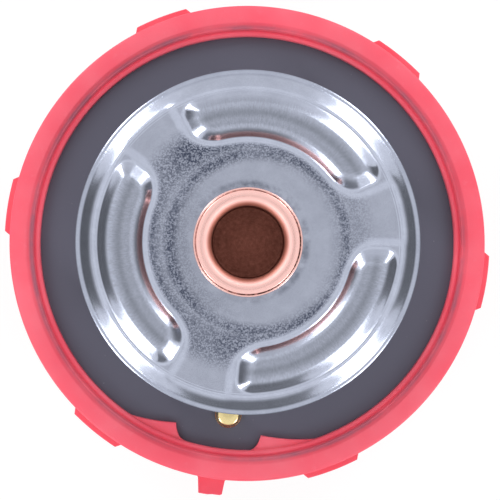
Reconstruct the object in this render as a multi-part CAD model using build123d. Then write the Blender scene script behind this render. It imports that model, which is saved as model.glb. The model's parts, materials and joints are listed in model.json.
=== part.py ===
# Engine coolant thermostat with a wax element: a flange with a moulded rubber seal, an outlet
# bridge that holds the piston, an inlet frame that carries the main spring, and a sliding element
# that opens the main valve while its sprung bypass disc closes the bypass port.
# Z is the axis of the element. The inlet side, with the bypass valve, is up, and the part rests on
# the flat crest of its outlet bridge. The origin is on the axis, half way through the flange.
# All sizes are millimetres and degrees. Azimuths count from +X towards +Y.
import os
from math import atan2, cos, degrees, radians, sin, sqrt, tan

from build123d import *

# Clearances and gaps
running_clearance = 0.05    # radial, piston in the guide
guiding_clearance = 0.08    # radial, cup in the frame's collar and in the bypass disc
seating_clearance = 0.05    # between pieces that are put together and then stay put
stop_gap = 0.10             # between a moving piece and what it comes to rest on

# Flange with its 45 degree valve seat and outlet neck
flange_radius = 28.5
flange_thickness = 1.2
neck_radius = 15.6
neck_height = 4.6
seat_drop = 1.45            # height of the seat's middle layer between flange and neck

# Perimeter seal
seal_cover = 1.5            # rubber outside the flange's edge
seal_grip = 2.3             # how far it reaches in over the flange
seal_cheek = 2.3            # rubber above and below the flange
land_width = 1.85
groove_drop = 0.45
groove_width = 0.9
crease_drop = 0.4
lip_width = 0.45
edge_chamfer = 0.3
fit_wall_low = -0.2         # lower end of the round wall that fits the housing
flank_taper = 0.6           # how far the wall draws in below that
moulding_round = 0.25
lug_count = 6
lug_azimuth = 50.8
lug_reach = 0.9
lug_root_span = 17.2        # degrees
lug_crest_span = 12.4
lug_height = 2.2
key_azimuth = 261.4
key_reach = 2.35
key_root_width = 4.0
key_width = 3.4
key_tip_width = 2.9
key_flare = 0.4
ear_reach = 1.8
ear_height = 1.0
ears = ((236.0, 248.3, 253.0), (289.0, 274.1, 270.2))    # azimuths: outer end, tip, notch

# Vent hole and jiggle pin
vent_azimuth = 263.7
vent_share = 0.485                # of the way from the seat's mouth to the seal
vent_hole_radius = 1.2
pin_radius = 0.9
pin_head_radius = 1.7
pin_head_height = 1.5
pin_travel = 1.9
cap_radius = 2.0
cap_height = 2.6

# Frames: straps of sheet steel, tabbed into the flange from either side
frame_thickness = 1.5
frame_width = 12.0
foot_margin = 2.05          # from the seat's mouth out to the middle of the straps
tab_width = 6.0
tab_stand = 0.7
slot_clearance = 0.1
bend_radius = 2.4
bridge_azimuth = 130.0
bridge_height = 17.0
bridge_knee = 3.9
bridge_waist = 10.0
crest_half_length = 8.5
crest_collar_radius = 3.6
crest_collar_height = 1.65
lower_frame_azimuth = 40.0
frame_ankle = 2.2
leg_lean = 1.9
plate_margin = 1.4
guide_collar_wall = 1.2
guide_collar_height = 1.85

# Element: piston, guide, boot, wax and cup
piston_radius = 2.0
piston_tip_radius = 1.5
guide_neck_radius = 4.4
guide_gap = 3.35            # bare piston between the bridge's collar and the guide
guide_hub_radius = 6.0
guide_hub_chamfer = 1.0
collar_radius = 7.6
collar_height = 2.0
boot_wall = 1.1
boot_nose = 3.0             # from the piston's end to the boot's end
boot_flange_thickness = 0.8
washer_thickness = 0.7
wax_depth = 4.8             # wax beyond the boot's end
cup_radius = 5.6
cup_wall = 0.7
crimp_wall = 0.6
cup_shoulder_height = 2.6
rim_overhang = 0.72
rim_height = 1.7
rim_fillet = 0.45
recess_wall = 1.4
recess_depth = 7.0

# Main valve and its spring
valve_thickness = 1.0
valve_dish = 1.55           # how far the hub stands above the web
valve_hub_width = 2.7
valve_rim_half = 1.0
seal_ring_thickness = 0.9
seal_ring_half = 0.8
snap_ring_thickness = 0.8
snap_ring_groove = 0.6
snap_ring_width = 2.0
valve_lift = 8.0
main_wire = 2.0
main_turns = 4.5
main_spring_reserve = 11.6     # the spring's length with the valve fully open
spring_margin = 1.05           # from the coil out to the rim of the web
wire_sides = 6

# Bypass spring and its seat on the cup
bypass_wire = 1.1
bypass_turns = 3.0
bypass_travel = 3.5
bypass_spring_reserve = 3.85
coil_clearance = 1.2           # from the cup to the bypass spring's small end
coil_flare = 2.1
spring_seat_margin = 0.7
spring_seat_thickness = 0.8
spring_seat_gap = 0.5

# Bypass disc with three pressed ribs
disc_thickness = 0.9
disc_radius = 20.0
disc_lip_width = 0.7
disc_rim_run = 1.2
disc_rim_drop = 1.1
disc_bend = 0.6
rib_azimuths = (71.2, 191.2, 311.2)
rib_span = 94.0
rib_end_angle = 8.5
rib_inner_radius = 11.9
rib_margin = 0.6               # from the ribs out to the edge of the plateau
rib_side_run = 1.35
rib_height = 1.3
rib_corner = 2.2
rib_crown_corner = 1.2
rib_fillet = 0.7

# Flange, seal and seat, worked out
half_root = sqrt(0.5)
flange_face = flange_thickness / 2
seat_mouth = neck_radius + flange_face + seat_drop
seal_radius = flange_radius + seal_cover
seal_inner_radius = flange_radius - seal_grip
vent_circle_radius = seat_mouth + vent_share * (seal_inner_radius - seat_mouth)
seal_half_height = flange_face + seal_cheek
seal_root = seal_radius - seal_cover / 2
lug_top = fit_wall_low - stop_gap
foot_radius = seat_mouth + foot_margin


def by_the_seat(along, off):
    # A point given by its place along the seat's slope and its distance off the seat's middle.
    return (
        seat_mouth - seat_drop / 2 + (along - off) * half_root,
        -seat_drop / 2 + (along + off) * half_root,
    )


# Heights along the element, from the main valve up to the cup's rim
rim_off = flange_face + stop_gap + seal_ring_thickness + valve_thickness / 2
web_edge, web_z = by_the_seat(-valve_rim_half, rim_off)
spring_foot = web_z + valve_thickness / 2
hub_middle = web_z + valve_dish
hub_bottom = hub_middle - valve_thickness / 2
hub_top = hub_middle + valve_thickness / 2
collar_bottom = hub_top + crimp_wall
collar_top = collar_bottom + collar_height
boot_flange_top = collar_top + boot_flange_thickness
washer_top = boot_flange_top + washer_thickness
shoulder_top = washer_top + cup_shoulder_height
spring_head = spring_foot + valve_lift + main_spring_reserve
plate_middle = spring_head + frame_thickness / 2
seat_ring_low = spring_head + frame_thickness + spring_seat_gap
seat_ring_high = seat_ring_low + spring_seat_thickness
disc_underside = seat_ring_high + bypass_travel + bypass_spring_reserve
disc_top = disc_underside + disc_thickness
rim_low = disc_top + stop_gap
cup_top = rim_low + rim_height
recess_floor = cup_top - recess_depth
cavity_end = recess_floor - cup_wall
boot_end = cavity_end - wax_depth
piston_end = boot_end - boot_nose

# Radii of the element's pieces
guide_bore = piston_radius + running_clearance
boot_bore = piston_radius + guiding_clearance
boot_radius = boot_bore + boot_wall
cup_bore = cup_radius - cup_wall
cup_mouth = collar_radius + crimp_wall
main_coil_radius = web_edge - spring_margin - main_wire / 2
bypass_coil_low = cup_radius + coil_clearance + bypass_wire / 2
bypass_coil_high = bypass_coil_low + coil_flare


def outline(*points):
    return make_face(Polyline(*points, close=True))


def turned(profile):
    return revolve(Plane.XZ * profile, Axis.Z)


def pipe(inner, outer, low, high):
    return turned(outline((inner, low), (outer, low), (outer, high), (inner, high)))


def at_azimuth(azimuth, shape):
    return Rot(0, 0, azimuth) * shape


def polar(radius, azimuth):
    return (radius * cos(radians(azimuth)), radius * sin(radians(azimuth)))


def pair(shape):
    # The same shape at both feet of a frame.
    return Pos(foot_radius, 0, 0) * shape + Pos(-foot_radius, 0, 0) * shape


def tab_slots():
    slot_size = (frame_thickness + 2 * slot_clearance, tab_width + 2 * slot_clearance)
    return pair(Box(*slot_size, 2 * flange_thickness))


def flange():
    bevel = flange_face * tan(radians(22.5))
    neck_outer = neck_radius + flange_thickness
    body = turned(
        outline(
            (flange_radius, -flange_face),
            (flange_radius, flange_face),
            (seat_mouth - bevel, flange_face),
            (neck_radius, -seat_drop - bevel),
            (neck_radius, -neck_height),
            (neck_outer, -neck_height),
            (neck_outer, -seat_drop + bevel),
            (seat_mouth + bevel, -flange_face),
        )
    )
    vent = Pos(vent_circle_radius, 0, 0) * Cylinder(vent_hole_radius, 2 * flange_thickness)
    body -= at_azimuth(vent_azimuth, vent)
    for azimuth in (bridge_azimuth, lower_frame_azimuth):
        body -= at_azimuth(azimuth, tab_slots())
    return body


def seal_ring():
    land_inner = seal_radius - land_width
    groove_z = seal_half_height - groove_drop
    groove_inner = land_inner - groove_width
    crease_z = groove_z - crease_drop
    lip_outer = seal_inner_radius + lip_width
    slot_radius = flange_radius + seating_clearance
    flank_foot = seal_radius - flank_taper
    return turned(
        outline(
            (flank_foot, -seal_half_height + edge_chamfer),
            (seal_radius, fit_wall_low),
            (seal_radius, seal_half_height - edge_chamfer),
            (seal_radius - edge_chamfer, seal_half_height),
            (land_inner, seal_half_height),
            (land_inner - edge_chamfer, groove_z),
            (groove_inner, groove_z),
            ((groove_inner + lip_outer) / 2, crease_z),
            (lip_outer, groove_z - crease_drop / 2),
            (seal_inner_radius, crease_z),
            (seal_inner_radius, flange_face),
            (slot_radius, flange_face),
            (slot_radius, -flange_face),
            (seal_inner_radius, -flange_face),
            (seal_inner_radius, -crease_z),
            (land_inner - groove_width, -seal_half_height),
            (flank_foot - edge_chamfer, -seal_half_height),
        )
    )


def sector(inner, outer, inner_half, outer_half):
    # A flat face between two radii, reaching to either side of +X by the half angles.
    arcs = [
        [polar(radius, angle) for angle in (-half, 0, half)]
        for radius, half in ((inner, inner_half), (outer, outer_half))
    ]
    near, far = arcs
    edges = (
        ThreePointArc(*near),
        Line(near[2], far[2]),
        ThreePointArc(*reversed(far)),
        Line(far[0], near[0]),
    )
    return make_face(list(edges))


def farthest_corners(face, count):
    return face.vertices().sort_by(Axis.X)[-count:]


def seal_lug():
    plan = sector(seal_root, seal_radius + lug_reach, lug_root_span / 2, lug_crest_span / 2)
    plan = fillet(farthest_corners(plan, 2), moulding_round)
    return extrude(Pos(0, 0, lug_top - lug_height) * plan, lug_height)


def seal_key():
    half_plan = [
        (seal_root, key_root_width / 2),
        (seal_radius, key_root_width / 2),
        (seal_radius + key_flare, key_width / 2),
        (seal_radius + key_reach, key_tip_width / 2),
    ]
    plan = outline(*half_plan, *[(x, -y) for x, y in reversed(half_plan)])
    plan = fillet(farthest_corners(plan, 2), moulding_round)
    return extrude(Pos(0, 0, lug_top - lug_height) * plan, lug_height)


def seal_ear(outer_end, tip, notch):
    rooted = seal_inner_radius + lip_width
    tip_point = polar(seal_inner_radius - ear_reach, tip)
    along = 90 if tip > notch else -90
    side = TangentArc(
        polar(seal_inner_radius, notch), tip_point, tangent=polar(1, notch + along)
    )
    edges = (
        side,
        Line(tip_point, polar(rooted, outer_end)),
        Line(polar(rooted, outer_end), polar(rooted, notch)),
        Line(polar(rooted, notch), polar(seal_inner_radius, notch)),
    )
    plan = make_face(list(edges))
    plan = fillet(plan.vertices().sort_by_distance((0, 0))[0], moulding_round)
    return extrude(Pos(0, 0, flange_face) * plan, ear_height)


def perimeter_seal():
    seal = seal_ring() + at_azimuth(key_azimuth, seal_key())
    for index in range(lug_count):
        seal += at_azimuth(lug_azimuth + index * 360 / lug_count, seal_lug())
    for azimuths in ears:
        seal += seal_ear(*azimuths)
    return seal


def strap(half_path, width):
    # Sheet bent along a symmetrical path in the XZ plane, given by its half from foot to middle.
    path = half_path + [(-x, z) for x, z in reversed(half_path)]
    section = trace(FilletPolyline(*path, radius=bend_radius), frame_thickness)
    return extrude(Plane.XZ * section, width / 2, both=True)


def tabs(low, high):
    return pair(Pos(0, 0, (low + high) / 2) * Box(frame_thickness, tab_width, high - low))


def upright(radius, low, high):
    return Pos(0, 0, (low + high) / 2) * Cylinder(radius, high - low)


def top_bridge():
    crest = -bridge_height + frame_thickness / 2
    crest_inside = -bridge_height + frame_thickness
    arch = strap(
        [
            (foot_radius, -flange_face),
            (foot_radius, -flange_face - bridge_knee),
            (crest_half_length, crest),
        ],
        frame_width,
    )
    reach = foot_radius + frame_thickness
    half_plan = [
        (reach, frame_width / 2),
        (foot_radius - frame_thickness, frame_width / 2),
        (crest_half_length, bridge_waist / 2),
        (-crest_half_length, bridge_waist / 2),
        (-foot_radius + frame_thickness, frame_width / 2),
        (-reach, frame_width / 2),
    ]
    plan = outline(*half_plan, *[(x, -y) for x, y in reversed(half_plan)])
    arch &= extrude(Pos(0, 0, -bridge_height) * plan, bridge_height)
    arch += upright(crest_collar_radius, crest, crest_inside + crest_collar_height)
    arch -= upright(piston_tip_radius, -2 * bridge_height, 0)
    arch += tabs(-flange_face, flange_face + tab_stand)
    return at_azimuth(bridge_azimuth, arch)


def lower_frame():
    collar_bore = cup_radius + guiding_clearance
    frame = strap(
        [
            (foot_radius, flange_face),
            (foot_radius, flange_face + frame_ankle),
            (foot_radius - leg_lean, plate_middle),
        ],
        frame_width,
    )
    plate_radius = main_coil_radius + main_wire / 2 + plate_margin
    frame += upright(plate_radius, spring_head, spring_head + frame_thickness)
    frame += upright(
        collar_bore + guide_collar_wall, spring_head - guide_collar_height, plate_middle
    )
    frame -= upright(collar_bore, 0, 2 * spring_head)
    frame += tabs(-flange_face - tab_stand, flange_face)
    return at_azimuth(lower_frame_azimuth, frame)


def piston():
    low = -bridge_height
    shoulder = low + frame_thickness + crest_collar_height
    return turned(
        outline(
            (0, low),
            (piston_tip_radius, low),
            (piston_tip_radius, shoulder),
            (piston_radius, shoulder),
            (piston_radius, piston_end - piston_radius),
            (piston_radius / 2, piston_end),
            (0, piston_end),
        )
    )


def element_guide():
    guide_low = -bridge_height + frame_thickness + crest_collar_height + guide_gap
    groove_radius = guide_hub_radius - snap_ring_groove
    groove_low = hub_bottom - snap_ring_thickness
    hub_low = groove_low - guide_hub_chamfer
    return turned(
        outline(
            (guide_bore, guide_low),
            (guide_neck_radius, guide_low),
            (guide_neck_radius, hub_low - guide_hub_chamfer),
            (guide_hub_radius, hub_low),
            (guide_hub_radius, groove_low),
            (groove_radius, groove_low),
            (groove_radius, hub_bottom),
            (guide_hub_radius, hub_bottom),
            (guide_hub_radius, collar_bottom),
            (collar_radius, collar_bottom),
            (collar_radius, collar_top),
            (guide_bore, collar_top),
        )
    )


def rubber_boot():
    nose = boot_radius / 2
    return turned(
        outline(
            (boot_bore, collar_top),
            (collar_radius, collar_top),
            (collar_radius, boot_flange_top),
            (boot_radius, boot_flange_top),
            (boot_radius, boot_end - nose),
            (nose, boot_end),
            (0, boot_end),
            (0, boot_end - boot_wall),
            (boot_bore, boot_end - boot_wall - nose),
        )
    )


def boot_washer():
    return pipe(boot_radius + seating_clearance, collar_radius, boot_flange_top, washer_top)


def wax_charge():
    wax_inner = boot_radius + seating_clearance
    wax_radius = cup_bore - seating_clearance
    wax_low = boot_end + seating_clearance
    return turned(
        outline(
            (wax_inner, washer_top),
            (wax_radius, washer_top),
            (wax_radius, cavity_end - seating_clearance),
            (0, cavity_end - seating_clearance),
            (0, wax_low),
            (wax_inner, wax_low),
        )
    )


def wax_cup():
    lip = guide_hub_radius + seating_clearance
    rim_radius = cup_radius + rim_overhang
    recess_radius = cup_radius - recess_wall
    cup = turned(
        outline(
            (lip, hub_top),
            (cup_mouth - crimp_wall / 2, hub_top),
            (cup_mouth, hub_top + crimp_wall / 2),
            (cup_mouth, washer_top),
            (cup_radius, shoulder_top),
            (cup_radius, rim_low),
            (rim_radius, rim_low),
            (rim_radius, cup_top),
            (recess_radius, cup_top),
            (recess_radius, recess_floor),
            (0, recess_floor),
            (0, cavity_end),
            (cup_bore, cavity_end),
            (cup_bore, washer_top),
            (collar_radius, washer_top),
            (collar_radius, collar_bottom),
            (lip, collar_bottom),
        )
    )
    return fillet(cup.edges().filter_by(GeomType.CIRCLE).group_by(Axis.Z)[-1], rim_fillet)


def valve_seal():
    near = flange_face + stop_gap
    far = near + seal_ring_thickness
    return turned(
        outline(
            by_the_seat(-seal_ring_half, near),
            by_the_seat(seal_ring_half, near),
            by_the_seat(seal_ring_half, far),
            by_the_seat(-seal_ring_half, far),
        )
    )


def main_valve():
    hub_edge = guide_hub_radius + valve_hub_width
    path = Polyline(
        (guide_hub_radius + seating_clearance, hub_middle),
        (hub_edge, hub_middle),
        (hub_edge + valve_dish, web_z),
        (web_edge, web_z),
        by_the_seat(valve_rim_half, rim_off),
    )
    return turned(trace(path, valve_thickness))


def valve_ring():
    inner = guide_hub_radius - snap_ring_groove + seating_clearance
    ring = pipe(inner, inner + snap_ring_width, hub_bottom - snap_ring_thickness, hub_bottom)
    gap = Box(2 * snap_ring_width, snap_ring_width, 4 * snap_ring_thickness)
    return ring - Pos(guide_hub_radius, 0, hub_bottom) * gap


def coil(low, high, radius_low, radius_high, wire, turns):
    # A spring whose wire stays between the heights low and high.
    rise = high - low - wire - 2 * seating_clearance
    flare = degrees(atan2(radius_high - radius_low, rise))
    start = low + seating_clearance + wire / 2
    path = Pos(0, 0, start) * Helix(rise / turns, rise, radius_low, cone_angle=flare)
    section = Plane(origin=path @ 0, z_dir=path % 0) * RegularPolygon(wire / 2, wire_sides)
    return sweep(section, path, is_frenet=True)


def main_spring():
    return coil(
        spring_foot, spring_head, main_coil_radius, main_coil_radius, main_wire, main_turns
    )


def bypass_spring():
    return coil(
        seat_ring_high,
        disc_underside,
        bypass_coil_low,
        bypass_coil_high,
        bypass_wire,
        bypass_turns,
    )


def bypass_spring_seat():
    outer = bypass_coil_low + bypass_wire / 2 + spring_seat_margin
    return pipe(cup_radius, outer, seat_ring_low, seat_ring_high)


def rib_form(inset, foot):
    # The body under one pressed rib, drawn in from its outside by the inset.
    outer = disc_radius - disc_lip_width - disc_rim_run - rib_margin - inset
    inner = rib_inner_radius + inset
    half = rib_span / 2 - degrees(inset / rib_inner_radius)
    crown_half = half - rib_end_angle
    base = sector(inner, outer, half, half)
    crown = sector(inner + rib_side_run, outer - rib_side_run, crown_half, crown_half)
    base = fillet(base.vertices(), rib_corner - inset / 2)
    crown = fillet(crown.vertices(), rib_crown_corner - inset / 2)
    return loft([Pos(0, 0, foot) * base, Pos(0, 0, foot + rib_height) * crown], ruled=True)


def bypass_valve():
    middle = disc_top - disc_thickness / 2
    lip_start = disc_radius - disc_lip_width
    path = FilletPolyline(
        (cup_radius + guiding_clearance, middle),
        (lip_start - disc_rim_run, middle),
        (lip_start, middle - disc_rim_drop),
        (disc_radius, middle - disc_rim_drop),
        radius=disc_bend,
    )
    disc = turned(trace(path, disc_thickness))
    for azimuth in rib_azimuths:
        disc += at_azimuth(azimuth, rib_form(0, disc_top))
    disc = fillet(disc.edges().group_by(Axis.Z)[-1], rib_fillet)
    for azimuth in rib_azimuths:
        disc -= at_azimuth(azimuth, rib_form(disc_thickness / 2, disc_underside))
    return disc


def at_the_vent(shape):
    return at_azimuth(vent_azimuth, Pos(vent_circle_radius, 0, 0) * shape)


cap_top = -flange_face - pin_travel - stop_gap / 2
cap_bottom = cap_top - cap_height


def jiggle_pin():
    head_low = flange_face + stop_gap / 2
    head_top = head_low + pin_head_height
    return at_the_vent(
        turned(
            outline(
                (0, cap_bottom),
                (pin_radius, cap_bottom),
                (pin_radius, head_low),
                (pin_head_radius, head_low),
                (pin_head_radius, head_low + pin_head_height / 2),
                (pin_head_radius / 2, head_top),
                (0, head_top),
            )
        )
    )


def jiggle_cap():
    return at_the_vent(pipe(pin_radius, cap_radius, cap_bottom, cap_top))


parts = {
    "flange": flange(),
    "perimeter_seal": perimeter_seal(),
    "top_bridge": top_bridge(),
    "piston": piston(),
    "lower_frame": lower_frame(),
    "main_spring": main_spring(),
    "element_guide": element_guide(),
    "rubber_boot": rubber_boot(),
    "boot_washer": boot_washer(),
    "wax_charge": wax_charge(),
    "wax_cup": wax_cup(),
    "main_valve": main_valve(),
    "valve_seal": valve_seal(),
    "valve_ring": valve_ring(),
    "bypass_spring_seat": bypass_spring_seat(),
    "bypass_spring": bypass_spring(),
    "bypass_valve": bypass_valve(),
    "jiggle_pin": jiggle_pin(),
    "jiggle_cap": jiggle_cap(),
}
os.makedirs("parts", exist_ok=True)
for name, shape in parts.items():
    export_step(shape, f"parts/{name}.step")
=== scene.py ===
# Looks of an engine coolant thermostat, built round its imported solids.
# Lengths are in metres, apart from the materials'. +Z is the element's axis, disc end up.
import json
import math
from types import SimpleNamespace

import bmesh
import bpy
from mathutils import Matrix, Vector


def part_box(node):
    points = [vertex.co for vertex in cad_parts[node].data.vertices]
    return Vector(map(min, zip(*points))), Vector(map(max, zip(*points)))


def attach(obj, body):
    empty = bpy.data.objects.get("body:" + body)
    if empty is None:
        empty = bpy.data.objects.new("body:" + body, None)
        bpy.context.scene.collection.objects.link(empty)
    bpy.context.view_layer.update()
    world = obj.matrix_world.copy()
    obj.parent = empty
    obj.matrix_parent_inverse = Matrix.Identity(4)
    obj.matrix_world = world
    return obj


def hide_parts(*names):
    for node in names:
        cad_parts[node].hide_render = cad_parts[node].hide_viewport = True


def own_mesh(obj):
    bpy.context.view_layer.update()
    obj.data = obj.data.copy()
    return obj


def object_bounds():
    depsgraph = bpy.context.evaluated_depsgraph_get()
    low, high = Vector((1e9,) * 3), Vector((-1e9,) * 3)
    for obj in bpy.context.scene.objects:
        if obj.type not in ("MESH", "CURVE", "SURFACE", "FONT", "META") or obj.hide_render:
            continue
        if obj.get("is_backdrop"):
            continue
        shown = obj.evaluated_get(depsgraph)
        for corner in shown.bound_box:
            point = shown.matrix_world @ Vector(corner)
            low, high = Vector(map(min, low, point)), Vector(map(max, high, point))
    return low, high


mm = 0.001
weld = 0.002 * mm  # points closer than this become one
sliver = 0.001 * mm  # and faces thinner than this go
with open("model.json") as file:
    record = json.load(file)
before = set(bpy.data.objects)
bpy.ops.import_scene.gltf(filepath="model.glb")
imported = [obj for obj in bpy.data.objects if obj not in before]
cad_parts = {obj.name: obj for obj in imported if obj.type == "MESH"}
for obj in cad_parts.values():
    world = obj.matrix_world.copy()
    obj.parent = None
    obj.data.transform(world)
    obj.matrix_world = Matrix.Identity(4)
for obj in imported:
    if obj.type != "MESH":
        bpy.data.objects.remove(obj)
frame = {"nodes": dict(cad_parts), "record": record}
cadLow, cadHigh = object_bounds()


def linearColour(hexText):
    # the sRGB curve, and full alpha
    channels = [int(hexText[i:i + 2], 16) / 255 for i in (1, 3, 5)]
    return tuple(c / 12.92 if c <= 0.04045 else ((c + 0.055) / 1.055) ** 2.4
                 for c in channels) + (1.0,)


def addNode(tree, kind, inputs=(), **settings):
    # a node's settings, then its sockets: a list fills them in order, a dictionary by name or
    # number. Each takes a value, a socket or another node's first live output.
    node = tree.nodes.new(kind)
    for name, value in settings.items():
        setattr(node, name, value)
    for key, value in inputs.items() if isinstance(inputs, dict) else enumerate(inputs):
        socket = node.inputs[key] if isinstance(key, int) else next(
            s for s in node.inputs if s.name == key and s.enabled)
        if isinstance(value, bpy.types.Node):
            value = next(s for s in value.outputs if s.enabled)
        if isinstance(value, bpy.types.NodeSocket):
            tree.links.new(value, socket)
        else:
            socket.default_value = value
    return node


def meshObject(name, mesh):
    piece = bpy.data.objects.new(name, mesh)
    bpy.context.scene.collection.objects.link(piece)
    return piece


def plainMesh(piece):
    # what the modifiers give becomes the piece's own mesh
    depsgraph = bpy.context.evaluated_depsgraph_get()
    mesh = bpy.data.meshes.new_from_object(piece.evaluated_get(depsgraph))
    piece.modifiers.clear()
    piece.data = mesh
    return piece


def shadeByAngle(mesh, degrees=35):
    mesh.shade_smooth()
    mesh.set_sharp_from_angle(angle=math.radians(degrees))


def finishPiece(piece, body, slotName, material, *replaced):
    piece.data.materials.clear()
    piece.data.materials.append(material)
    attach(piece, body)
    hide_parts(*replaced)


cornerSteps = (0, 0.33, 0.67, 1)
cornerShare = 0.45  # the most that a corner takes of the side next to it


def roundedSection(points):
    # points are (radius, height, corner radius); each corner becomes a short curve
    count = len(points)
    outline = []
    for i, (r, z, corner) in enumerate(points):
        here = Vector((r, z))
        before = Vector(points[i - 1][:2]) - here
        after = Vector(points[(i + 1) % count][:2]) - here
        reach = min(corner, before.length * cornerShare, after.length * cornerShare)
        start = here + before.normalized() * reach if before.length else here
        end = here + after.normalized() * reach if after.length else here
        for t in cornerSteps:
            outline.append(start * (1 - t) ** 2 + here * 2 * t * (1 - t) + end * t ** 2)
    return outline


def turnedPiece(name, sectionAt, azimuths):
    # a closed section carried round the Z axis; it may change with the azimuth
    work = bmesh.new()
    rings = []
    for azimuth in azimuths:
        c, s = math.cos(math.radians(azimuth)), math.sin(math.radians(azimuth))
        rings.append([work.verts.new((p.x * c, p.x * s, p.y))
                      for p in roundedSection(sectionAt(azimuth))])
    for ring, following in zip(rings, rings[1:] + rings[:1]):
        size = len(ring)
        for i in range(size):
            j = (i + 1) % size
            work.faces.new((ring[i], following[i], following[j], ring[j]))
    bmesh.ops.remove_doubles(work, verts=work.verts, dist=weld)
    bmesh.ops.dissolve_degenerate(work, edges=work.edges, dist=sliver)
    bmesh.ops.recalc_face_normals(work, faces=work.faces)
    mesh = bpy.data.meshes.new(name)
    work.to_mesh(mesh)
    work.free()
    shadeByAngle(mesh)
    return meshObject(name, mesh)


def steps(count):
    return [i * 360 / count for i in range(count)]


# Materials: each starts from what the real one is. Lengths in a look are in millimetres. A band is
# from, to and how softly it ends. A ramp is low and high, then what comes out there where that
# isn't 0 and 1. Marks are how many to the millimetre across, and how often they change round.

def surface(name, look, metallic=0.0, **sockets):
    material = bpy.data.materials.new(name)
    material.use_nodes = True
    tree = material.node_tree
    shader = tree.nodes["Principled BSDF"]
    shader.inputs["Base Color"].default_value = linearColour(look["colour"])
    shader.inputs["Roughness"].default_value = look["roughness"]
    shader.inputs["Metallic"].default_value = metallic
    for socket, value in sockets.items():
        shader.inputs[socket.replace("_", " ")].default_value = value
    return material, tree, shader


def placeInMm(tree):
    # the piece's own place, with the distance from the axis and the height, in millimetres
    coords = addNode(tree, "ShaderNodeTexCoord").outputs["Object"]
    place = addNode(tree, "ShaderNodeVectorMath", {0: coords, "Scale": 1 / mm}, operation="SCALE")
    split = addNode(tree, "ShaderNodeSeparateXYZ", [place])
    flat = addNode(tree, "ShaderNodeCombineXYZ", [split.outputs[0], split.outputs[1]])
    radius = addNode(tree, "ShaderNodeVectorMath", [flat], operation="LENGTH")
    return SimpleNamespace(place=place, flat=flat, radius=radius.outputs["Value"],
                           sideways=split.outputs[0], height=split.outputs[2])


def allOf(tree, mask, *others):
    # where every mask holds
    for other in others:
        mask = addNode(tree, "ShaderNodeMath", [mask, other], operation="MULTIPLY")
    return mask


def between(tree, value, low, high, soft):
    # 1 between low and high, fading over soft to either side
    rise = addNode(tree, "ShaderNodeMapRange", [value, low - soft, low + soft],
                   interpolation_type="SMOOTHSTEP")
    fall = addNode(tree, "ShaderNodeMapRange", [value, high - soft, high + soft, 1, 0],
                   interpolation_type="SMOOTHSTEP")
    return allOf(tree, rise, fall)


def addedUp(tree, total, *shares):
    # adds each mask by its weight
    for mask, weight in shares:
        total = addNode(tree, "ShaderNodeMath", [mask, weight, total], operation="MULTIPLY_ADD")
    return total


def toOneSide(tree, at, side, band):
    # a mask that grows towards one side of the axis
    along = addNode(tree, "ShaderNodeVectorMath", [at.flat, side], operation="DOT_PRODUCT")
    return addNode(tree, "ShaderNodeMapRange", [along.outputs["Value"], *band])


def clouds(tree, at, perMm, spread, detail=2.0, roughness=0.5):
    # patches of noise, perMm of them to a millimetre
    noise = addNode(tree, "ShaderNodeTexNoise", {"Vector": at.place, "Scale": perMm,
                                                 "Detail": detail, "Roughness": roughness})
    return addNode(tree, "ShaderNodeMapRange", [noise, *spread])


def turningMarks(tree, at, acrossPerMm, alongTurn):
    # noise drawn out round the axis: fine across the marks, long along them
    heading = addNode(tree, "ShaderNodeVectorMath", [at.flat], operation="NORMALIZE")
    along = addNode(tree, "ShaderNodeVectorMath", {0: heading, "Scale": alongTurn},
                    operation="SCALE")
    across = addNode(tree, "ShaderNodeMath", [at.radius, at.height], operation="ADD")
    across = addNode(tree, "ShaderNodeMath", [across, acrossPerMm], operation="MULTIPLY")
    lift = addNode(tree, "ShaderNodeCombineXYZ", {2: across})
    drawn = addNode(tree, "ShaderNodeVectorMath", [along, lift], operation="ADD")
    return addNode(tree, "ShaderNodeTexNoise", {"Vector": drawn, "Scale": 1.0, "Detail": 3.0})


def paintOver(tree, shader, ground, *coats):
    # each coat lies over the ones before it, where its mask says
    colour = linearColour(ground)
    for mask, hexText in coats:
        colour = addNode(tree, "ShaderNodeMix", {"Factor": mask, "A": colour,
                                                 "B": linearColour(hexText)}, data_type="RGBA")
    tree.links.new(colour.outputs[2], shader.inputs["Base Color"])


usualNoise = (0.3, 0.7)  # where nearly all of a noise's values lie


def roughenBy(tree, shader, look, noise, more=None):
    # noise takes the roughness to either side of its usual value; more is added to it
    less, plus = look["roughSpread"]
    rough = addNode(tree, "ShaderNodeMapRange", [noise, *usualNoise, look["roughness"] - less,
                                                 look["roughness"] + plus])
    if more:
        rough = addNode(tree, "ShaderNodeMath", [rough, more], operation="ADD")
    tree.links.new(rough.outputs[0], shader.inputs["Roughness"])


siliconeLook = {
    "colour": "#ff5b70", "pale": "#ff8292", "crease": "#dd3650", "dirt": "#a8667a",
    "roughness": 0.46, "roughSpread": (0.06, 0.14), "translucence": 0.12, "glowDepth": 0.6,
    "glowReach": (1.0, 0.35, 0.25),
    "cloudSize": 7.0, "cloud": (0.35, 0.7, 0.0, 0.45),
    "scuffSize": 0.9, "scuff": (0.58, 0.72, 0.0, 0.25), "grainSize": 0.35, "grainDepth": 0.012,
    "groove": (26.95, 27.5, 0.2), "filmPerMm": 0.09, "film": (0.42, 0.62, 0.12, 0.85),
    # the crease band and the outer edge take the crease colour as painted shade
    "creaseBand": (26.6, 26.95, 0.15), "creaseShade": 0.7, "outerEdgeShade": (29.72, 29.98, 0.0, 0.4),
}


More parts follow.
